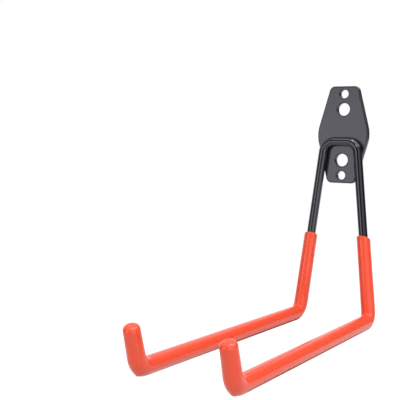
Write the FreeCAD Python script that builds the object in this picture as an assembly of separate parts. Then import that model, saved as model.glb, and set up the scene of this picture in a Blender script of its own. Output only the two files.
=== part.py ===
import FreeCAD, Part
import math
import os

# A double-arm wall hook for garage tools: a stamped steel plate, a bent steel rod
# welded across its front and a dipped PVC sleeve on each arm. The origin is the middle
# of the plate's back face, which lies on the wall. +Z is up, +Y points into the wall
# and +X is to the right of someone who faces the hook. All sizes are in millimetres.

# Mounting plate. Its widths are taken at the outline's corners before rounding.
PLATE_HEIGHT = 86.0
PLATE_END_WIDTH = 25.7
PLATE_MIDDLE_WIDTH = 49.2
PLATE_THICKNESS = 4.0
PLATE_END_CORNER = 5.0
PLATE_MIDDLE_CORNER = 30.0
PLATE_EDGE_ROUND = 1.3

# Screw holes on the plate's centre line, a small and a large one towards each end.
SMALL_HOLE = 7.6
SMALL_HOLE_MARGIN = 3.1
LARGE_HOLE = 11.2
HOLE_WEB = 4.2
HOLE_EDGE_ROUND = 1.1

# Hook rod. Spreads are between the axes of its left and right halves.
ROD_DIAMETER = 7.7
ROD_END_CHAMFER = 0.6
WELD_SET_DOWN = 0.25
BRIDGE_DROP = 6.2
BRIDGE_SPREAD = 30.0
BRIDGE_BEND = 10.0
ARM_DROP = 162.4
ARM_ROOT_SPREAD = 65.8
ARM_ROOT_BEND = 10.0
ARM_LENGTH = 250.0
ARM_FRONT_SPREAD = 70.7
ARM_FRONT_BEND = 9.0
TIP_LENGTH = 29.4
TIP_LEAN = 18.0

# PVC sleeves, dipped with the tips foremost. The wall is thickest on the front bends. The
# dip line slants across the legs, and the last run-off set as a blunt point on each heel.
SLEEVE_RIM_WALL = 1.85
SLEEVE_ROOT_WALL = 2.2
SLEEVE_FRONT_WALL = 2.3
SLEEVE_TIP_WALL = 1.9
SLEEVE_CAP = 2.2
SLEEVE_END_ROUND = 3.6
SLEEVE_RIM_ROUND = 0.8
SLEEVE_TOP_DROP = 89.8
SLEEVE_TOP_SLANT = 22.0
RUN_OFF_HEIGHT = 0.8
RUN_OFF_ROOT = 10.0
RUN_OFF_TIP = 2.0
RUN_OFF_ROUND = 0.6

ROD_RADIUS = ROD_DIAMETER / 2
ROD_PLANE = WELD_SET_DOWN - PLATE_THICKNESS - ROD_RADIUS
ARM_FRONT = ROD_PLANE - ARM_LENGTH
SLEEVE_RADII = [
    ROD_RADIUS + wall
    for wall in (SLEEVE_RIM_WALL, SLEEVE_ROOT_WALL, SLEEVE_FRONT_WALL, SLEEVE_TIP_WALL)
]
SMALL_HOLE_RISE = PLATE_HEIGHT / 2 - SMALL_HOLE_MARGIN - SMALL_HOLE / 2
LARGE_HOLE_RISE = SMALL_HOLE_RISE - SMALL_HOLE / 2 - HOLE_WEB - LARGE_HOLE / 2


def direction(start, end):
    """Unit vector from one point to another."""
    step = end.sub(start)
    step.normalize()
    return step


def corner(before, point, after, bend):
    """First and last point, centre, axis and turn of the arc that rounds a corner."""
    into = direction(before, point)
    out = direction(point, after)
    turn = into.getAngle(out)
    setback = bend * math.tan(turn / 2)
    first = point.sub(into * setback)
    last = point.add(out * setback)
    axis = into.cross(out)
    axis.normalize()
    centre = first.add(axis.cross(into) * bend)
    return first, last, centre, axis, math.degrees(turn)


def straight_run(start, end, first_radius, last_radius):
    """Round bar between two points, tapered where its radii differ."""
    run = end.sub(start)
    if first_radius == last_radius:
        return Part.makeCylinder(first_radius, run.Length, start, run)
    return Part.makeCone(first_radius, last_radius, run.Length, start, run)


def round_bar(points, bends, radii):
    """Pieces of a round bar with a radius at each point: runs, and an arc at each bend."""
    pieces = []
    start = points[0]
    for index, bend in enumerate(bends):
        first, last, centre, axis, turn = corner(*points[index:index + 3], bend)
        pieces.append(straight_run(start, first, radii[index], radii[index + 1]))
        section = Part.Circle(first, first.sub(start), radii[index + 1]).toShape()
        pieces.append(Part.Face(Part.Wire(section)).revolve(centre, axis, turn))
        start = last
    pieces.append(straight_run(start, points[-1], radii[-2], radii[-1]))
    return pieces


def fused(pieces):
    """One solid of pieces that meet or overlap."""
    return pieces[0].multiFuse(pieces[1:]).removeSplitter().Solids[0]


def round_edge(solid, centre):
    """Circular edge of a solid whose centre lies nearest to a point."""
    circles = [edge for edge in solid.Edges if isinstance(edge.Curve, Part.Circle)]
    return min(circles, key=lambda edge: edge.Curve.Center.distanceToPoint(centre))


def rounded_outline(points, bends):
    """Closed wire through the points, with each corner rounded to its own radius."""
    arcs = []
    for index, bend in enumerate(bends):
        point = points[index]
        after = points[(index + 1) % len(points)]
        first, last, centre, axis, turn = corner(points[index - 1], point, after, bend)
        middle = centre.add(direction(centre, point) * bend)
        arcs.append(Part.Arc(first, middle, last))
    edges = []
    for index, arc in enumerate(arcs):
        edges.append(Part.LineSegment(arcs[index - 1].EndPoint, arc.StartPoint).toShape())
        edges.append(arc.toShape())
    return Part.Wire(edges)


def front_edges(plate):
    """Edges that lie in the plate's front face."""
    return [edge for edge in plate.Edges if edge.CenterOfMass.y < -0.999 * PLATE_THICKNESS]


def mounting_plate():
    """Flat six-sided plate with four holes on its centre line and soft front edges."""
    end = PLATE_END_WIDTH / 2
    middle = PLATE_MIDDLE_WIDTH / 2
    top = PLATE_HEIGHT / 2
    corners = [(-end, top), (end, top), (middle, 0), (end, -top), (-end, -top), (-middle, 0)]
    bends = [PLATE_END_CORNER, PLATE_END_CORNER, PLATE_MIDDLE_CORNER] * 2
    outline = rounded_outline([FreeCAD.Vector(x, 0, z) for x, z in corners], bends)
    front = FreeCAD.Vector(0, -PLATE_THICKNESS, 0)
    plate = Part.Face(outline).extrude(front)
    plate = plate.makeFillet(PLATE_EDGE_ROUND, front_edges(plate))
    for size, rise in ((SMALL_HOLE, SMALL_HOLE_RISE), (LARGE_HOLE, LARGE_HOLE_RISE)):
        for height in (-rise, rise):
            place = FreeCAD.Vector(0, 0, height)
            plate = plate.cut(Part.makeCylinder(size / 2, PLATE_THICKNESS, place, front))
    rims = [edge for edge in front_edges(plate) if edge.isClosed()]
    return plate.makeFillet(HOLE_EDGE_ROUND, rims).Solids[0]


def side_points(side):
    """Corner points of one half of the rod's axis, from the bridge to the tip's end."""
    lean = math.radians(TIP_LEAN)
    rise = FreeCAD.Vector(0, -math.sin(lean), math.cos(lean)) * TIP_LENGTH
    bridge = FreeCAD.Vector(side * BRIDGE_SPREAD / 2, ROD_PLANE, -BRIDGE_DROP)
    root = FreeCAD.Vector(side * ARM_ROOT_SPREAD / 2, ROD_PLANE, -ARM_DROP)
    front = FreeCAD.Vector(side * ARM_FRONT_SPREAD / 2, ARM_FRONT, -ARM_DROP)
    return [bridge, root, front, front.add(rise)]


def bent_rod():
    """Rod as bent: left tip, arm and leg, the bridge, then right leg, arm and tip."""
    points = side_points(-1)[::-1] + side_points(1)
    half = [BRIDGE_BEND, ARM_ROOT_BEND, ARM_FRONT_BEND]
    rod = fused(round_bar(points, half[::-1] + half, [ROD_RADIUS] * len(points)))
    ends = [round_edge(rod, points[0]), round_edge(rod, points[-1])]
    return rod.makeChamfer(ROD_END_CHAMFER, ends).Solids[0]


def run_off(root, front, tip):
    """Blunt cone from the rod's axis out through the heel of the front bend."""
    centre = corner(root, front, tip, ARM_FRONT_BEND)[2]
    outward = direction(centre, front)
    base = centre.add(outward * ARM_FRONT_BEND)
    height = SLEEVE_RADII[2] + RUN_OFF_HEIGHT
    cone = Part.makeCone(RUN_OFF_ROOT / 2, RUN_OFF_TIP / 2, height, base, outward)
    return cone.makeFillet(RUN_OFF_ROUND, [round_edge(cone, base.add(outward * height))])


def sleeve(side, rod):
    """Sleeve over one arm: slanted at its upper end, closed and rounded at the tip."""
    bridge, root, front, tip = side_points(side)
    down = direction(bridge, root)
    top = bridge.add(down * ((SLEEVE_TOP_DROP - BRIDGE_DROP) / -down.z))
    start = top.sub(down * (2 * SLEEVE_RADII[0]))
    end = tip.add(direction(front, tip) * SLEEVE_CAP)
    pieces = round_bar([start, root, front, end], [ARM_ROOT_BEND, ARM_FRONT_BEND], SLEEVE_RADII)
    pieces[-1] = pieces[-1].makeFillet(SLEEVE_END_ROUND, [round_edge(pieces[-1], end)])
    body = fused(pieces + [run_off(root, front, tip)])
    slant = math.radians(SLEEVE_TOP_SLANT)
    facing = FreeCAD.Vector(0, math.sin(slant), math.cos(slant))
    reach = 4 * SLEEVE_RADII[0]
    body = body.cut(Part.makeCylinder(reach, reach, top, facing))
    rim = [edge for edge in body.Edges if abs(edge.CenterOfMass.sub(top).dot(facing)) < 0.001 * reach]
    body = body.makeFillet(SLEEVE_RIM_ROUND, rim)
    return body.cut(rod).Solids[0]


os.makedirs("parts", exist_ok=True)
plate = mounting_plate()
rod = bent_rod()
nodes = {
    "mounting_plate": plate,
    "hook_rod": rod.cut(plate).Solids[0],
    "left_sleeve": sleeve(-1, rod),
    "right_sleeve": sleeve(1, rod),
}
for name, shape in nodes.items():
    shape.exportStep("parts/" + name + ".step")
    print(name, "valid" if shape.isValid() else "not valid", round(shape.Volume), "mm3")
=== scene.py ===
import math

import bpy
import numpy as np
from mathutils import Matrix, Vector


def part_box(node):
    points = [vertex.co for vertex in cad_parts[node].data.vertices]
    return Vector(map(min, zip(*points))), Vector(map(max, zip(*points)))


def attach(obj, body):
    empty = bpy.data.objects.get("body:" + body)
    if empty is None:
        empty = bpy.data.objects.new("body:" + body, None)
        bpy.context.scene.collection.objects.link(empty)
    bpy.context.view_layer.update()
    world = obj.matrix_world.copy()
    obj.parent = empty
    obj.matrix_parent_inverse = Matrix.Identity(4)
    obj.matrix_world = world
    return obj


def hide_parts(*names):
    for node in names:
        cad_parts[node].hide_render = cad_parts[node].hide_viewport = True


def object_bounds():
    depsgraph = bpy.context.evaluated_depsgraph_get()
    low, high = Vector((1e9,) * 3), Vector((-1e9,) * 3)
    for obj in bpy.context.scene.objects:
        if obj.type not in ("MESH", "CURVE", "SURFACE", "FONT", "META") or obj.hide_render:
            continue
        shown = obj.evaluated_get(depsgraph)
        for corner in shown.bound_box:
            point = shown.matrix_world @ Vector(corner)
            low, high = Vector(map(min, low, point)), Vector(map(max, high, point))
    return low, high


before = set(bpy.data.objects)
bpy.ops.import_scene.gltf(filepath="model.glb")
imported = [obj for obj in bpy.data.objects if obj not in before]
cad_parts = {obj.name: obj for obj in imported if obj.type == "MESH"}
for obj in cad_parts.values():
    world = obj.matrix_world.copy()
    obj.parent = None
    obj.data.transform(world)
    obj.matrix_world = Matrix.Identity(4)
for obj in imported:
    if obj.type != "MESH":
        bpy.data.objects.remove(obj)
CAD_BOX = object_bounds()

bl_info = {
    "name": "Garage Utility Hook",
    "version": (1, 0, 0),
    "blender": (4, 5, 0),
    "location": "View3D > Sidebar > Garage Hook",
    "description": "Coats the steel of a garage hook, dips its arms in PVC and sets up a studio",
    "category": "Object",
}

MM = 0.001
WHITE = (1, 1, 1, 1)

# The picture's side in pixels, and what it is on the camera's sensor in millimetres.
PHOTO_SIZE = 400
SENSOR_WIDTH = 36

# A sleeve's grid: points in a row, then rows on each bend and on each run between them.
SLEEVE_STEPS = 96
BORE_BEND_ROWS, BORE_TIP_ROWS, BORE_ARM_ROWS, BORE_LEG_ROWS = 24, 2, 12, 6
SKIN_BEND_ROWS, SKIN_TIP_ROWS, SKIN_ARM_ROWS, SKIN_LEG_ROWS = 48, 24, 120, 40
RIM_ROWS = 8
END_ROWS = 14

# The floor's grid: points in a ring and the rings' radii in metres. Then its paint, and the glow
# that lifts it to white where it is shown.
FLOOR_STEPS = 64
FLOOR_RINGS = (0.01, 1.0, 8.0)
FLOOR_GREY = "#ACACAC"
FLOOR_ROUGHNESS = 0.9
FLOOR_LIFT = 0.9

# Dark cloths that only mirror-like surfaces see. Each curtain has its cloth, its first and last
# degree to the right of straight ahead, the heights of its lower and upper edge and its distance,
# both from the plate's middle and in metres.
CLOTHS = {"grey_felt": "#989898", "black_velvet": "#444444"}
CURTAINS = {
    "left_curtain": ("grey_felt", -76, 10, -0.8, 1.5, 2.5),
    "right_curtain": ("grey_felt", 10, 178, -0.2, 1.5, 2.5),
    "low_curtain": ("black_velvet", 173, 235, -1.06, -0.55, 1.0),
}
CURTAIN_COLUMNS = 100
CURTAIN_ROWS = 5

# Each softbox has its degrees to the right of straight ahead and above the level, its distance,
# width and height in metres and the brightness of its face, where 1 is white.
SOFTBOXES = {
    "left_box": (-27, 0, 1.5, 0.95, 0.75, 2.4),
    "right_box": (60, 0, 1.5, 1.5, 1.65, 1.05),
    "high_box": (94, 54, 1.5, 1.0, 1.0, 2.7),
    "top_box": (55, 78, 1.5, 0.3, 0.3, 19.0),
    "key_above": (-5, 62, 1.3, 1.0, 0.22, 4.5),
    "front_box": (31, 35, 1.5, 0.35, 0.35, 9.0),
}


def linear(code):
    """Linear RGB of an sRGB hex colour."""
    value = np.array([int(code[i:i + 2], 16) for i in (1, 3, 5)]) / 255
    low = value <= 0.04045
    return tuple(float(v) for v in np.where(low, value / 12.92, ((value + 0.055) / 1.055) ** 2.4))


def add_node(tree, kind, settings=(), inputs=()):
    """Adds one node, sets its properties and fills its inputs with values or links from sockets."""
    node = tree.nodes.new(kind)
    for key, value in dict(settings).items():
        setattr(node, key, value)
    for key, value in dict(inputs).items():
        if isinstance(value, bpy.types.NodeSocket):
            tree.links.new(value, node.inputs[key])
        else:
            node.inputs[key].default_value = value
    return node


def new_material(name):
    """An empty node material, its tree and its output node."""
    material = bpy.data.materials.new(name)
    material.use_nodes = True
    material.node_tree.nodes.clear()
    output = add_node(material.node_tree, "ShaderNodeOutputMaterial")
    return material, material.node_tree, output


def unit(vector):
    """A vector of length 1 in the same direction."""
    return np.asarray(vector, float) / np.linalg.norm(vector)


def grid_mesh(name, points, closed=True, poles=False):
    """Mesh of a grid of points, with a face between each four neighbours.

    points[i, j] is row i at column j. On a closed grid the last column joins the first. With
    poles, the first and the last row each close on a single point in their middle.
    """
    rows, around = points.shape[:2]
    index = np.arange(rows * around).reshape(rows, around)
    beside = np.roll(index, -1, axis=1)
    quads = np.stack([index[:-1], beside[:-1], beside[1:], index[1:]], axis=-1)
    if not closed:
        quads = quads[:, :-1]
    vertices = points.reshape(-1, 3)
    faces = quads.reshape(-1, 4).tolist()
    if poles:
        ends = np.stack([points[0].mean(axis=0), points[-1].mean(axis=0)])
        vertices = np.concatenate([vertices, ends])
        first = np.full(around, rows * around)
        faces += np.stack([first, beside[0], index[0]], axis=-1).tolist()
        faces += np.stack([first + 1, index[-1], beside[-1]], axis=-1).tolist()
    mesh = bpy.data.meshes.new(name)
    mesh.from_pydata(vertices.tolist(), [], faces)
    mesh.validate()
    mesh.shade_smooth()
    return mesh


def new_object(name, mesh, material):
    """Object at the origin that shows a mesh in one material."""
    piece = bpy.data.objects.new(name, mesh)
    mesh.materials.append(material)
    bpy.context.scene.collection.objects.link(piece)
    return piece


class SteelProperties(bpy.types.PropertyGroup):
    """Finish of the plate and the rod."""

    plate_colour: bpy.props.FloatVectorProperty(
        name="Plate colour", description="Colour of the plate's semi-gloss coat",
        subtype="COLOR", size=3, min=0, max=1, default=linear("#1E1E22"))
    plate_roughness: bpy.props.FloatProperty(
        name="Plate roughness", description="How far the plate's coat blurs what it mirrors",
        subtype="FACTOR", min=0, max=1, default=0.24)
    plate_ior: bpy.props.FloatProperty(
        name="Plate index", description="Refractive index of the plate's coat",
        min=1, max=2, default=1.6)
    rod_colour: bpy.props.FloatVectorProperty(
        name="Rod colour", description="Colour of the rod's gloss coat",
        subtype="COLOR", size=3, min=0, max=1, default=linear("#0E0E11"))
    rod_roughness: bpy.props.FloatProperty(
        name="Rod roughness", description="How far the rod's coat blurs what it mirrors",
        subtype="FACTOR", min=0, max=1, default=0.15)
    rod_ior: bpy.props.FloatProperty(
        name="Rod index", description="Refractive index of the rod's coat",
        min=1, max=2, default=1.6)
    tint: bpy.props.FloatVectorProperty(
        name="Tint", description="Colour that both coats give to what they mirror",
        subtype="COLOR", size=3, min=0, max=1, default=linear("#F2F1FF"))
    peel_size: bpy.props.FloatProperty(
        name="Orange peel", description="Width of one swell of the baked coat",
        unit="LENGTH", default=4 * MM)
    peel_height: bpy.props.FloatProperty(
        name="Orange peel height", description="Height of one swell of the baked coat",
        unit="LENGTH", precision=6, default=0.01 * MM)


class SleeveProperties(bpy.types.PropertyGroup):
    """Shape and finish of the dipped sleeves. Places that are not listed come from the frame."""

    colour: bpy.props.FloatVectorProperty(
        name="Colour", description="Colour of the dipped PVC",
        subtype="COLOR", size=3, min=0, max=1, default=linear("#FA5334"))
    roughness: bpy.props.FloatProperty(
        name="Roughness", description="How far the PVC blurs what it mirrors",
        subtype="FACTOR", min=0, max=1, default=0.22)
    ior: bpy.props.FloatProperty(
        name="Index", description="Refractive index of the PVC",
        min=1, max=2, default=1.46)
    rod_diameter: bpy.props.FloatProperty(
        name="Rod diameter", description="Coated rod inside the sleeve",
        unit="LENGTH", default=7.7 * MM)
    rim_wall: bpy.props.FloatProperty(
        name="Rim wall", description="Thickness of the PVC at the open end",
        unit="LENGTH", default=1.85 * MM)
    root_wall: bpy.props.FloatProperty(
        name="Root wall", description="Thickness of the PVC on the bend between leg and arm",
        unit="LENGTH", default=2.2 * MM)
    tip_wall: bpy.props.FloatProperty(
        name="Tip wall", description="Thickness of the PVC at the closed end",
        unit="LENGTH", default=1.9 * MM)
    bridge_spread: bpy.props.FloatProperty(
        name="Bridge spread", description="Distance between the leg axes at the bridge",
        unit="LENGTH", default=30 * MM)
    root_spread: bpy.props.FloatProperty(
        name="Root spread", description="Distance between the arm axes at the legs",
        unit="LENGTH", default=65.8 * MM)
    arm_length: bpy.props.FloatProperty(
        name="Arm length", description="From the leg's axis to the tip's axis",
        unit="LENGTH", default=250 * MM)
    root_bend: bpy.props.FloatProperty(
        name="Root bend", description="Radius of the rod's axis between leg and arm",
        unit="LENGTH", default=10 * MM)
    front_bend: bpy.props.FloatProperty(
        name="Front bend", description="Radius of the rod's axis between arm and tip",
        unit="LENGTH", default=9 * MM)
    tip_length: bpy.props.FloatProperty(
        name="Tip length", description="Length of the upturned end of the rod",
        unit="LENGTH", default=29.4 * MM)
    tip_lean: bpy.props.FloatProperty(
        name="Tip lean", description="How far the tip leans forward from upright",
        subtype="ANGLE", default=math.radians(18))
    cap: bpy.props.FloatProperty(
        name="Cap", description="PVC over the rod's end",
        unit="LENGTH", default=2.2 * MM)
    end_round: bpy.props.FloatProperty(
        name="End rounding", description="Rounding of the closed end",
        unit="LENGTH", default=3.6 * MM)
    rim_round: bpy.props.FloatProperty(
        name="Rim rounding", description="Rounding of the open end",
        unit="LENGTH", default=0.8 * MM)
    rim_drop: bpy.props.FloatProperty(
        name="Rim drop", description="From the plate's middle down to the open end",
        unit="LENGTH", default=89.8 * MM)
    rim_slant: bpy.props.FloatProperty(
        name="Rim slant", description="Slope of the dip line, lower towards the wall",
        subtype="ANGLE", default=math.radians(22))
    root_hollow: bpy.props.FloatProperty(
        name="Root hollow", description="Radius of the skin's crease inside the root bend",
        unit="LENGTH", default=1.5 * MM)
    root_fill: bpy.props.FloatProperty(
        name="Root fill", description="How much thicker the dip set on top of the arm at its root",
        unit="LENGTH", default=0.8 * MM)
    root_heel: bpy.props.FloatProperty(
        name="Root heel", description="Radius outside the root bend, where the skin thins",
        unit="LENGTH", default=18.6 * MM)
    front_hollow: bpy.props.FloatProperty(
        name="Front hollow", description="Radius inside the front bend, where the skin gathers",
        unit="LENGTH", default=9 * MM)
    run_off: bpy.props.FloatProperty(
        name="Run-off", description="Height of the set drop on the heel of the front bend",
        unit="LENGTH", default=1.0 * MM)
    run_off_spread: bpy.props.FloatProperty(
        name="Run-off spread", description="How far from its point the drop fades to about a third",
        unit="LENGTH", default=2.4 * MM)
    run_off_round: bpy.props.FloatProperty(
        name="Run-off rounding", description="Rounding of the drop's point",
        unit="LENGTH", default=0.5 * MM)
    run_off_turn: bpy.props.FloatProperty(
        name="Run-off turn", description="Turn of the drop from the bend's middle towards the arm",
        subtype="ANGLE", default=math.radians(7))


class StageProperties(bpy.types.PropertyGroup):
    """Camera, light and floor."""

    azimuth: bpy.props.FloatProperty(
        name="Azimuth", description="Camera's turn to the right of straight ahead",
        subtype="ANGLE", default=math.radians(31.0))
    elevation: bpy.props.FloatProperty(
        name="Elevation", description="Camera's height above the level line of sight",
        subtype="ANGLE", default=math.radians(2.93))
    roll: bpy.props.FloatProperty(
        name="Roll", description="Camera's turn about its own line of sight",
        subtype="ANGLE", default=math.radians(1.88))
    distance: bpy.props.FloatProperty(
        name="Distance", description="From the camera to the point it looks at",
        unit="LENGTH", default=784.24 * MM)
    target: bpy.props.FloatVectorProperty(
        name="Target", description="Point in the middle of the picture",
        subtype="TRANSLATION", size=3, default=(-146.83 * MM, -1.5 * MM, -66.18 * MM))
    focal_pixels: bpy.props.FloatProperty(
        name="Focal length", description="Focal length in pixels of the picture",
        default=791.5)
    floor_drop: bpy.props.FloatProperty(
        name="Floor", description="Depth of the floor below the plate's middle",
        unit="LENGTH", default=900 * MM)
    ambient: bpy.props.FloatProperty(
        name="Ambient", description="Level of the even light from all round",
        min=0, max=1, default=0.37)


def powder_coat(name, colour, roughness, ior, steel):
    """Polyester powder, sprayed on and baked: an even black film.

    It mirrors its surroundings softly and a little bluish. The melt leaves a faint orange peel,
    one swell of noise to each peel size, that bends what it mirrors.
    """
    material, tree, output = new_material(name)
    place = add_node(tree, "ShaderNodeTexCoord")
    peel = add_node(tree, "ShaderNodeTexNoise", {"noise_dimensions": "3D"},
                    {"Vector": place.outputs["Object"], "Scale": 1 / steel.peel_size,
                     "Detail": 1.0})
    bump = add_node(tree, "ShaderNodeBump", (),
                    {"Height": peel.outputs["Fac"], "Distance": steel.peel_height, "Strength": 1.0})
    coat = add_node(tree, "ShaderNodeBsdfPrincipled", (),
                    {"Base Color": (*colour, 1), "Roughness": roughness, "IOR": ior,
                     "Specular Tint": (*steel.tint, 1), "Normal": bump.outputs["Normal"]})
    tree.links.new(coat.outputs["BSDF"], output.inputs["Surface"])
    return material


def dipped_pvc(sleeves):
    """Plasticised PVC, dipped and cured: a thick, glossy skin of even colour.

    It mirrors its surroundings softly over the full colour of the pigment below.
    """
    material, tree, output = new_material("dipped_orange_pvc")
    skin = add_node(tree, "ShaderNodeBsdfPrincipled", (),
                    {"Base Color": (*sleeves.colour, 1), "Roughness": sleeves.roughness,
                     "IOR": sleeves.ior})
    tree.links.new(skin.outputs["BSDF"], output.inputs["Surface"])
    return material


class Bend:
    """Corner of a round bar's axis, with what its rails need to turn it."""

    def __init__(self, before, point, after):
        self.point = np.asarray(point, float)
        self.into = unit(self.point - before)
        self.out = unit(np.asarray(after, float) - self.point)
        self.across = unit(self.into + self.out)
        self.inward = unit(self.out - self.into)
        self.side = unit(np.cross(self.into, self.out))
        self.half = 0.5 * math.acos(float(self.into @ self.out))

    def ring(self, centre, along, radius, angles):
        """Circle of a radius about a line, with angle 0 on the inside of the bend."""
        inside = np.cross(self.side, along)
        spokes = np.cos(angles)[:, None] * inside + np.sin(angles)[:, None] * self.side
        return centre + radius * spokes

    def rails(self, radius, angles, rounding, steps):
        """Rows of the bend's surface, as (steps, angles, 3).

        Each rail runs at its own angle round the bar. Its two straight lines meet on the bend's
        bisector, and an arc of the rail's own rounding turns the one into the other.
        """
        inside = radius * np.cos(angles)
        sideways = radius * np.sin(angles)
        reach = (inside + rounding) / math.cos(self.half)
        centres = self.point + reach[:, None] * self.inward + sideways[:, None] * self.side
        turn = np.linspace(-self.half, self.half, steps)[:, None]
        spokes = np.sin(turn) * self.across - np.cos(turn) * self.inward
        return centres[None] + rounding[None, :, None] * spokes[:, None]


def between(first, last, steps):
    """Rows between two rows, evenly spaced, without either."""
    share = np.linspace(0, 1, steps + 2)[1:-1, None, None]
    return first[None] * (1 - share) + last[None] * share


def sleeve_points(side, sleeves):
    """Grid of a dipped sleeve, from the rod's end inside it, out at the rim and round to the tip.

    Each row is a ring round the rod, and each column runs along it at one angle. The bore lies
    on the rod. The rim is a quarter circle, carried round the slanted plane of the dip line. The
    skin runs at the wall's thickness from the rod, which changes evenly between the bends.
    Its rails turn in a tight crease inside the root bend and in wide arcs outside it and inside
    the front bend, and at the root the top of the arm is raised by the fill. The closed end is a
    flat disc with a quarter circle round it. Last, the skin is pushed out at the heel of the
    front bend by a height that falls off exponentially with the distance from the drop's point.
    """
    rod_low, rod_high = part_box("hook_rod")
    skin_low, skin_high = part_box("right_sleeve")
    rod = sleeves.rod_diameter / 2
    rim_skin = rod + sleeves.rim_wall
    root_skin = rod + sleeves.root_wall
    front_skin = rod + rod_low.z - skin_low.z
    tip_skin = rod + sleeves.tip_wall
    wall_gap = rod_high.y - rod
    arm_height = rod_low.z + rod
    front_half = skin_high.x - front_skin
    bridge_height = rod_high.z - rod

    bridge = np.array([side * sleeves.bridge_spread / 2, wall_gap, bridge_height])
    root = np.array([side * sleeves.root_spread / 2, wall_gap, arm_height])
    front = np.array([side * front_half, wall_gap - sleeves.arm_length, arm_height])
    rise = np.array([0, -math.sin(sleeves.tip_lean), math.cos(sleeves.tip_lean)])
    tip = front + rise * sleeves.tip_length
    end = tip + rise * sleeves.cap
    rear = Bend(bridge, root, front)
    fore = Bend(root, front, tip)
    angles = np.linspace(0, 2 * math.pi, SLEEVE_STEPS, endpoint=False)
    inside = (1 + np.cos(angles)) / 2
    outside = 1 - inside

    down = rear.into
    facing = np.array([0, math.sin(sleeves.rim_slant), math.cos(sleeves.rim_slant)])
    top = bridge + down * ((sleeves.rim_drop + bridge_height) / -down[2])

    def slanted(radius, depth):
        """Ring about the leg that lies a depth below the dip line."""
        level = rear.ring(top, down, radius, angles)
        shift = -((level - top) @ facing) / (down @ facing) + depth
        return level + shift[:, None] * down

    bore_top = slanted(rod, 0)
    bore_end = fore.ring(tip, fore.out, rod, angles)
    bore_rear = rear.rails(rod, angles, sleeves.root_bend - rod * np.cos(angles), BORE_BEND_ROWS)
    bore_fore = fore.rails(rod, angles, sleeves.front_bend - rod * np.cos(angles), BORE_BEND_ROWS)
    bore = np.concatenate([
        np.stack([(bore_end + tip) / 2, bore_end]),
        between(bore_end, bore_fore[-1], BORE_TIP_ROWS), bore_fore[::-1],
        between(bore_fore[0], bore_rear[-1], BORE_ARM_ROWS), bore_rear[::-1],
        between(bore_rear[0], bore_top, BORE_LEG_ROWS), bore_top[None]])

    lip = sleeves.rim_round
    rim = np.stack([
        slanted(rim_skin - lip + lip * math.sin(turn), lip - lip * math.cos(turn))
        for turn in np.linspace(0, math.pi / 2, RIM_ROWS)])
    turned = sleeves.root_hollow * inside + sleeves.root_heel * outside
    skin_rear = rear.rails(root_skin, angles, turned, SKIN_BEND_ROWS)
    skin_rear -= (sleeves.root_fill * inside**2)[:, None] * down
    gathered = sleeves.front_hollow * inside + (sleeves.front_bend + front_skin) * outside
    skin_fore = fore.rails(front_skin, angles, gathered, SKIN_BEND_ROWS)
    shoulder = sleeves.end_round
    dome = np.stack([
        fore.ring(end - rise * shoulder * (1 - math.sin(turn)), fore.out,
                  tip_skin - shoulder + shoulder * math.cos(turn), angles)
        for turn in np.linspace(0, math.pi / 2, END_ROWS)])
    skin = np.concatenate([
        rim, between(rim[-1], skin_rear[0], SKIN_LEG_ROWS), skin_rear,
        between(skin_rear[-1], skin_fore[0], SKIN_ARM_ROWS), skin_fore,
        between(skin_fore[-1], dome[0], SKIN_TIP_ROWS), dome,
        (dome[-1:] + end) / 2])

    aside = sleeves.run_off_turn
    heel_way = -math.sin(aside) * fore.across - math.cos(aside) * fore.inward
    middle = fore.point + fore.inward * (sleeves.front_bend / math.cos(fore.half))
    heel = middle + heel_way * (sleeves.front_bend + front_skin)
    blunt = sleeves.run_off_round
    away = np.hypot(np.linalg.norm(skin - heel, axis=2), blunt) - blunt
    drop = sleeves.run_off * np.exp(-away / sleeves.run_off_spread)
    skin += drop[:, :, None] * heel_way
    return np.concatenate([bore, skin])


class HOOK_OT_coat_steel(bpy.types.Operator):
    """Coats the plate and the rod black"""

    bl_idname = "hook.coat_steel"
    bl_label = "Coat Steel"

    def execute(self, context):
        steel = context.scene.hook_steel
        semi_gloss = powder_coat("semi_gloss_black_powder_coat", steel.plate_colour,
                                 steel.plate_roughness, steel.plate_ior, steel)
        gloss = powder_coat("gloss_black_powder_coat", steel.rod_colour,
                            steel.rod_roughness, steel.rod_ior, steel)
        for name, slot, coat in (("mounting_plate", "plate_black", semi_gloss),
                                 ("hook_rod", "rod_black", gloss)):
            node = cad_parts[name]
            node.data.materials.clear()
            node.data.materials.append(coat)
        return {"FINISHED"}


class HOOK_OT_dip_sleeves(bpy.types.Operator):
    """Makes both dipped sleeves"""

    bl_idname = "hook.dip_sleeves"
    bl_label = "Dip Sleeves"

    def execute(self, context):
        sleeves = context.scene.hook_sleeves
        skin = dipped_pvc(sleeves)
        for name, side in (("left_sleeve", -1), ("right_sleeve", 1)):
            mesh = grid_mesh(name + "_skin", sleeve_points(side, sleeves), poles=True)
            piece = new_object("dipped_" + name, mesh, skin)
            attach(piece, "root")
            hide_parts(name)
        return {"FINISHED"}


def shown_white(tree):
    """Socket that is 1 for rays from the camera, from mirrors and through clear things, else 0."""
    path = add_node(tree, "ShaderNodeLightPath")
    shown = path.outputs["Is Camera Ray"]
    for kind in ("Is Glossy Ray", "Is Transmission Ray"):
        either = add_node(tree, "ShaderNodeMath", {"operation": "MAXIMUM"},
                          {0: shown, 1: path.outputs[kind]})
        shown = either.outputs[0]
    return shown


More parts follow.
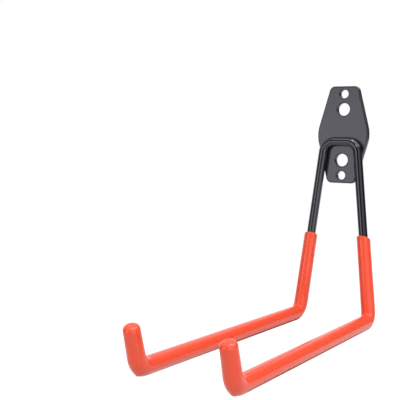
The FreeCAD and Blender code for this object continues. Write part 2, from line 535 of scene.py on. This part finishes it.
def white_world(stage):
    """White to the camera and to mirror-like surfaces, and a softer even light for the rest."""
    world = bpy.data.worlds.new("white_studio")
    bpy.context.scene.world = world
    world.use_nodes = True
    tree = world.node_tree
    tree.nodes.clear()
    even = add_node(tree, "ShaderNodeBackground", (), {"Color": WHITE, "Strength": stage.ambient})
    white = add_node(tree, "ShaderNodeBackground", (), {"Color": WHITE, "Strength": 1.0})
    mixed = add_node(tree, "ShaderNodeMixShader", (),
                     {0: shown_white(tree), 1: even.outputs[0], 2: white.outputs[0]})
    output = add_node(tree, "ShaderNodeOutputWorld")
    tree.links.new(mixed.outputs[0], output.inputs["Surface"])


def floor_paint():
    """Matt white floor paint, lifted to white for the camera and for reflections; shadows stay."""
    material, tree, output = new_material("matt_white_floor")
    lift = add_node(tree, "ShaderNodeMath", {"operation": "MULTIPLY"},
                    {0: shown_white(tree), 1: FLOOR_LIFT})
    paint = add_node(tree, "ShaderNodeBsdfPrincipled", (),
                     {"Base Color": (*linear(FLOOR_GREY), 1), "Roughness": FLOOR_ROUGHNESS,
                      "Specular IOR Level": 0.0, "Emission Color": WHITE,
                      "Emission Strength": lift.outputs[0]})
    tree.links.new(paint.outputs["BSDF"], output.inputs["Surface"])
    return material


def floor_points(stage):
    """Flat disc, as the radius of each ring by the turn about its middle."""
    turn = np.linspace(0, 2 * math.pi, FLOOR_STEPS, endpoint=False)
    reach = np.array(FLOOR_RINGS)[:, None]
    level = np.full((len(FLOOR_RINGS), FLOOR_STEPS), -stage.floor_drop)
    return np.stack([reach * np.cos(turn), -reach * np.sin(turn), level], axis=-1)


def dark_cloth(name, colour):
    """Felt or velvet, whose standing fibres send back little light and have no gloss."""
    material, tree, output = new_material(name)
    fibres = add_node(tree, "ShaderNodeBsdfDiffuse", (), {"Color": (*linear(colour), 1)})
    tree.links.new(fibres.outputs[0], output.inputs["Surface"])
    return material


def curtain_points(first, last, low, high, reach):
    """Part of an upright cylinder round the plate's middle, as height by turn about +Z."""
    turn = np.radians(np.linspace(first, last, CURTAIN_COLUMNS))
    height = np.linspace(low, high, CURTAIN_ROWS)
    around = np.stack([reach * np.sin(turn), -reach * np.cos(turn), 0 * turn], axis=-1)
    return around[None] + height[:, None, None] * np.array([0, 0, 1.0])


def polar(azimuth, elevation, distance):
    """Point by its degrees right of straight ahead and above the level, and its distance."""
    a, e = math.radians(azimuth), math.radians(elevation)
    return Vector((math.sin(a) * math.cos(e), -math.cos(a) * math.cos(e), math.sin(e))) * distance


def softbox(name, azimuth, elevation, distance, width, height, radiance):
    """Area lamp that faces the hook, with the brightness of its face given."""
    lamp = bpy.data.lights.new(name, "AREA")
    lamp.shape = "RECTANGLE"
    lamp.size = width
    lamp.size_y = height
    lamp.energy = radiance * math.pi * width * height
    holder = bpy.data.objects.new(name, lamp)
    middle = (CAD_BOX[0] + CAD_BOX[1]) / 2
    back = polar(azimuth, elevation, 1)
    holder.location = middle + back * distance
    holder.rotation_euler = back.to_track_quat("Z", "Y").to_euler()
    holder.visible_camera = False
    bpy.context.scene.collection.objects.link(holder)


def photo_camera(stage):
    """Camera at the photograph's place, turned to the target and then about its line of sight."""
    back = polar(math.degrees(stage.azimuth), math.degrees(stage.elevation), 1)
    right = Vector((math.cos(stage.azimuth), math.sin(stage.azimuth), 0))
    axes = Matrix((right, back.cross(right), back)).transposed()
    turned = axes @ Matrix.Rotation(stage.roll, 3, "Z")
    place = Vector(stage.target) + back * stage.distance
    lens = bpy.data.cameras.new("photo_camera")
    lens.sensor_width = SENSOR_WIDTH
    lens.lens = stage.focal_pixels * SENSOR_WIDTH / PHOTO_SIZE
    lens.clip_start = 10 * MM
    camera = bpy.data.objects.new("photo_camera", lens)
    camera.matrix_world = Matrix.Translation(place) @ turned.to_4x4()
    bpy.context.scene.collection.objects.link(camera)
    return camera


class HOOK_OT_set_stage(bpy.types.Operator):
    """Sets up the floor, the light and the camera"""

    bl_idname = "hook.set_stage"
    bl_label = "Set Stage"

    def execute(self, context):
        scene = context.scene
        stage = scene.hook_stage
        scene.view_settings.view_transform = "Standard"
        white_world(stage)

        disc = grid_mesh("studio_floor", floor_points(stage))
        floor = new_object("studio_floor", disc, floor_paint())

        cloths = {name: dark_cloth(name, colour) for name, colour in CLOTHS.items()}
        for name, (cloth, *place) in CURTAINS.items():
            mesh = grid_mesh(name, curtain_points(*place), closed=False)
            curtain = new_object(name, mesh, cloths[cloth])
            curtain.visible_camera = False
            curtain.visible_diffuse = False
            curtain.visible_transmission = False
            curtain.visible_shadow = False

        for name, place in SOFTBOXES.items():
            softbox(name, *place)
        scene.camera = photo_camera(stage)
        return {"FINISHED"}


class HOOK_PT_sidebar(bpy.types.Panel):
    """Lists the steps that dress the hook"""

    bl_label = "Garage Hook"
    bl_idname = "HOOK_PT_sidebar"
    bl_space_type = "VIEW_3D"
    bl_region_type = "UI"
    bl_category = "Garage Hook"

    def draw(self, context):
        layout = self.layout
        scene = context.scene
        for operator, group in STEPS:
            box = layout.box()
            settings = getattr(scene, group)
            for key in settings.bl_rna.properties.keys():
                if key not in ("rna_type", "name"):
                    box.prop(settings, key)
            box.operator(operator)


STEPS = (
    ("hook.coat_steel", "hook_steel"),
    ("hook.dip_sleeves", "hook_sleeves"),
    ("hook.set_stage", "hook_stage"),
)
GROUPS = {
    "hook_steel": SteelProperties,
    "hook_sleeves": SleeveProperties,
    "hook_stage": StageProperties,
}
OPERATORS = (HOOK_OT_coat_steel, HOOK_OT_dip_sleeves, HOOK_OT_set_stage)
CLASSES = (*GROUPS.values(), *OPERATORS, HOOK_PT_sidebar)


def register():
    """Registers the classes and hangs the settings on the scene."""
    for item in CLASSES:
        bpy.utils.register_class(item)
    for name, group in GROUPS.items():
        setattr(bpy.types.Scene, name, bpy.props.PointerProperty(type=group))


def unregister():
    """Takes the settings and the classes away again."""
    for name in GROUPS:
        delattr(bpy.types.Scene, name)
    for item in reversed(CLASSES):
        bpy.utils.unregister_class(item)


def main():
    """Runs the steps in order."""
    register()
    bpy.ops.hook.coat_steel()
    bpy.ops.hook.dip_sleeves()
    bpy.ops.hook.set_stage()


if __name__ == "__main__":
    main()
